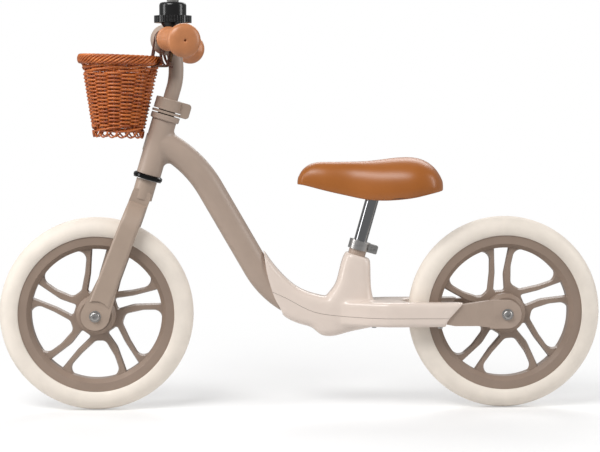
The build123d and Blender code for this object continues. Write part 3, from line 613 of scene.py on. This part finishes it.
# ---------------------------------------------------------------- saddle
def saddle(finish):
    """The padded saddle: a slim nose that widens and rises to the rear, its cover tucked under the edge."""
    stations = 110
    bend = (1 - np.cos(np.linspace(0, math.pi, stations))) / 2
    xs = SADDLE_PLAN[0][0] + (SADDLE_PLAN[-1][0] - SADDLE_PLAN[0][0]) * (0.002 + 0.996 * bend)
    halves = read(SADDLE_PLAN, xs)
    tops = read(SADDLE_TOP, xs)
    edges = read(SADDLE_EDGE, xs)
    over = np.radians(np.concatenate([np.linspace(-24, 0, 5, endpoint=False), np.linspace(0, 90, 22)]))
    power = 2 / 2.35
    rings = []
    for x, half, top, edge in zip(xs, halves, tops, edges):
        level = edge + 0.26 * (top - edge)
        side = []
        for a in over:
            c, s = math.cos(a), math.sin(a)
            y = half * abs(c) ** power
            rise = (top - level) * abs(s) ** power if s >= 0 else (level - edge) * s / math.sin(over[0]) * -1
            z = level + rise
            side.append((x, y, z))
        tuck = side[0][1]
        under = [(x, 0.0, edge + 4.3), (x, max(tuck - 5.5, tuck * 0.3), edge + 4.3),
                 (x, max(tuck - 4.6, tuck * 0.4), edge + 0.4), (x, max(tuck - 1.6, tuck * 0.6), edge - 0.4)]
        right = under + side
        left = [(p[0], -p[1], p[2]) for p in reversed(right[1:-1])]
        rings.append(right + left)
    columns = len(rings[0])
    verts = np.vstack([np.vstack(rings), [np.mean(rings[0], axis=0), np.mean(rings[-1], axis=0)]])
    faces = grid_faces(stations, columns)
    nose, tail, last = len(verts) - 2, len(verts) - 1, (stations - 1) * columns
    for j in range(columns):
        k = (j + 1) % columns
        faces.append([k, j, nose])
        faces.append([last + j, last + k, tail])
    obj = solid("saddle_padded", verts, faces, finish["saddle_cover"], "saddle")
    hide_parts("saddle_cover")


# ---------------------------------------------------------------- covers

def prism(points, half=70.0):
    """A temporary slab along Y with the given outline in X and Z, listed anticlockwise."""
    n = len(points)
    verts = [(x, y, z) for y in (-half, half) for x, z in points]
    faces = [f[::-1] for f in grid_faces(2, n)] + [list(range(n))[::-1], list(range(n, 2 * n))]
    mesh = bpy.data.meshes.new("slab")
    mesh.from_pydata([tuple(v) for v in np.array(verts) * MM], [], faces)
    mesh.update()
    slab = bpy.data.objects.new("slab", mesh)
    bpy.context.scene.collection.objects.link(slab)
    return slab


def flowing_shell():
    """The covers and the frame under them as one closed skin whose inner corners are eased."""
    verts, faces = [], []
    for name in ("upper_cover", "lower_cover", "frame"):
        mesh = NODES[name].data
        start = len(verts)
        verts += [tuple(v.co) for v in mesh.vertices]
        faces += [[i + start for i in p.vertices] for p in mesh.polygons]
    mesh = bpy.data.meshes.new("shell")
    mesh.from_pydata(verts, [], faces)
    shell = bpy.data.objects.new("shell", mesh)
    bpy.context.scene.collection.objects.link(shell)
    skin = shell.modifiers.new("skin", "REMESH")
    skin.mode = "VOXEL"
    skin.voxel_size = COVER_VOXEL * MM
    ease = shell.modifiers.new("ease", "SMOOTH")
    ease.factor = 0.5
    ease.iterations = COVER_EASE_STEPS
    swell = shell.modifiers.new("swell", "DISPLACE")
    swell.strength = COVER_SWELL * MM
    swell.mid_level = 0.0
    return shell


def cover(shell, name, outline, finish):
    """One moulded half of the covers: the shell inside an outline."""
    slab = prism(outline)
    cut = shell.modifiers.new("cut", "BOOLEAN")
    cut.operation, cut.object, cut.solver = "INTERSECT", slab, "EXACT"
    bpy.context.view_layer.update()
    mesh = bpy.data.meshes.new_from_object(shell.evaluated_get(bpy.context.evaluated_depsgraph_get()))
    shell.modifiers.remove(cut)
    bpy.data.objects.remove(slab)
    mesh.name = name + "_moulded"
    mesh.materials.clear()
    mesh.materials.append(finish["cover_plastic"])
    mesh.polygons.foreach_set("use_smooth", [True] * len(mesh.polygons))
    obj = bpy.data.objects.new(name + "_moulded", mesh)
    bpy.context.scene.collection.objects.link(obj)
    mesh.set_sharp_from_angle(angle=math.radians(COVER_CREASE))
    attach(obj, "frame")
    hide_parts(name)


def covers(finish):
    """The upper and lower cover, with a fine seam between them."""
    shell = flowing_shell()
    seam, front, rear = curve(COVER_SEAM, 24), curve(COVER_FRONT, 16), curve(COVER_REAR, 8)
    high, low = seam + (0, SEAM_GAP / 2), seam - (0, SEAM_GAP / 2)
    front_low, front_high = SEAM_CLEAR_FRONT
    rear_low, rear_high = SEAM_CLEAR_REAR
    upper = [*high, *rear[rear[:, 1] > rear_high], *COVER_ABOVE[::-1],
             *front[front[:, 1] > front_high][::-1]]
    lower = [*low[::-1], *front[front[:, 1] < front_low][::-1],
             *((x, COVER_FLOOR) for x in COVER_FLOOR_ENDS), *rear[rear[:, 1] < rear_low]]
    cover(shell, "upper_cover", upper, finish)
    cover(shell, "lower_cover", lower, finish)
    bpy.data.objects.remove(shell)


# ---------------------------------------------------------------- studio
def white_for_camera(tree, shader):
    """Full strength for the camera, and a softer fill for everything the surround lights."""
    seen = tree.nodes.new("ShaderNodeLightPath")
    strength = tree.nodes.new("ShaderNodeMapRange")
    strength.inputs["To Min"].default_value = WORLD_FILL
    strength.inputs["To Max"].default_value = 1.0
    tree.links.new(seen.outputs["Is Camera Ray"], strength.inputs["Value"])
    tree.links.new(strength.outputs["Result"], shader.inputs["Strength"])


def studio_floor():
    """A wide pale floor that fades into the white of the backdrop."""
    mesh = bpy.data.meshes.new("studio_floor")
    sides = 96
    turns = [2 * math.pi * k / sides for k in range(sides)]
    mesh.from_pydata([(FLOOR_RADIUS * math.cos(a), FLOOR_RADIUS * math.sin(a), -0.0005) for a in turns], [],
                     [list(range(sides))])
    floor = bpy.data.objects.new("studio_floor", mesh)
    bpy.context.scene.collection.objects.link(floor)
    material = bpy.data.materials.new("studio_floor")
    material.use_nodes = True
    tree = material.node_tree
    shader = tree.nodes["Principled BSDF"]
    shader.inputs["Base Color"].default_value = (0.93, 0.93, 0.93, 1)
    shader.inputs["Roughness"].default_value = 0.6
    place = tree.nodes.new("ShaderNodeTexCoord")
    length = tree.nodes.new("ShaderNodeVectorMath")
    length.operation = "LENGTH"
    tree.links.new(place.outputs["Object"], length.inputs[0])
    fade = tree.nodes.new("ShaderNodeMapRange")
    fade.interpolation_type = "SMOOTHSTEP"
    fade.inputs["From Min"].default_value = 0.35
    fade.inputs["From Max"].default_value = 1.1
    fade.inputs["To Min"].default_value = 0.3
    tree.links.new(length.outputs["Value"], fade.inputs["Value"])
    glow = tree.nodes.new("ShaderNodeEmission")
    white_for_camera(tree, glow)
    mix = tree.nodes.new("ShaderNodeMixShader")
    tree.links.new(fade.outputs["Result"], mix.inputs["Fac"])
    tree.links.new(shader.outputs["BSDF"], mix.inputs[1])
    tree.links.new(glow.outputs["Emission"], mix.inputs[2])
    tree.links.new(mix.outputs["Shader"], tree.nodes["Material Output"].inputs["Surface"])
    mesh.materials.append(material)


def world():
    """A white surround for the camera that lights the bicycle more softly."""
    made = bpy.data.worlds.new("studio")
    bpy.context.scene.world = made
    made.use_nodes = True
    tree = made.node_tree
    back = tree.nodes["Background"]
    back.inputs["Color"].default_value = (1, 1, 1, 1)
    white_for_camera(tree, back)


def lamp(name, place, target, size, watts):
    """A soft rectangular light aimed at a point, in metres."""
    data = bpy.data.lights.new(name, "AREA")
    data.shape = "RECTANGLE"
    data.size, data.size_y = size
    data.energy = watts
    obj = bpy.data.objects.new(name, data)
    bpy.context.scene.collection.objects.link(obj)
    obj.location = place
    obj.rotation_euler = (Vector(target) - Vector(place)).to_track_quat("-Z", "Y").to_euler()


def camera():
    """The photograph's long-lens view from the rider's left."""
    data = bpy.data.cameras.new("camera")
    data.lens = CAMERA_LENS
    data.sensor_width = 36.0
    data.clip_end = 100.0
    obj = bpy.data.objects.new("camera", data)
    bpy.context.scene.collection.objects.link(obj)
    obj.location = CAMERA_PLACE
    obj.rotation_euler = (math.radians(90 - CAMERA_TILT), 0, -math.radians(CAMERA_PAN))
    bpy.context.scene.camera = obj


bpy.context.scene.view_settings.view_transform = "Standard"
finish = materials()
paint_cad(finish)
tyre("front", -307.0, finish)
tyre("rear", 307.0, finish)
basket(finish)
for side, hand in ((-1, "left"), (1, "right")):
    strap(side, "basket_strap_" + hand, finish)
    buckle(side, "strap_buckle_" + hand, finish)
    grip(side, "grip_" + hand, finish)
saddle(finish)
covers(finish)
studio_floor()
world()
lamp("key", (-1.1, -1.5, 2.1), (0, 0, 0.25), (1.4, 1.0), 46)
lamp("left", (-2.0, -0.5, 0.9), (0, 0, 0.3), (0.5, 1.6), 15)
lamp("right", (2.0, -0.6, 0.9), (0, 0, 0.3), (0.6, 1.6), 18)
lamp("back", (0.3, 1.9, 1.7), (0, 0, 0.3), (2.0, 1.0), 22)
camera()
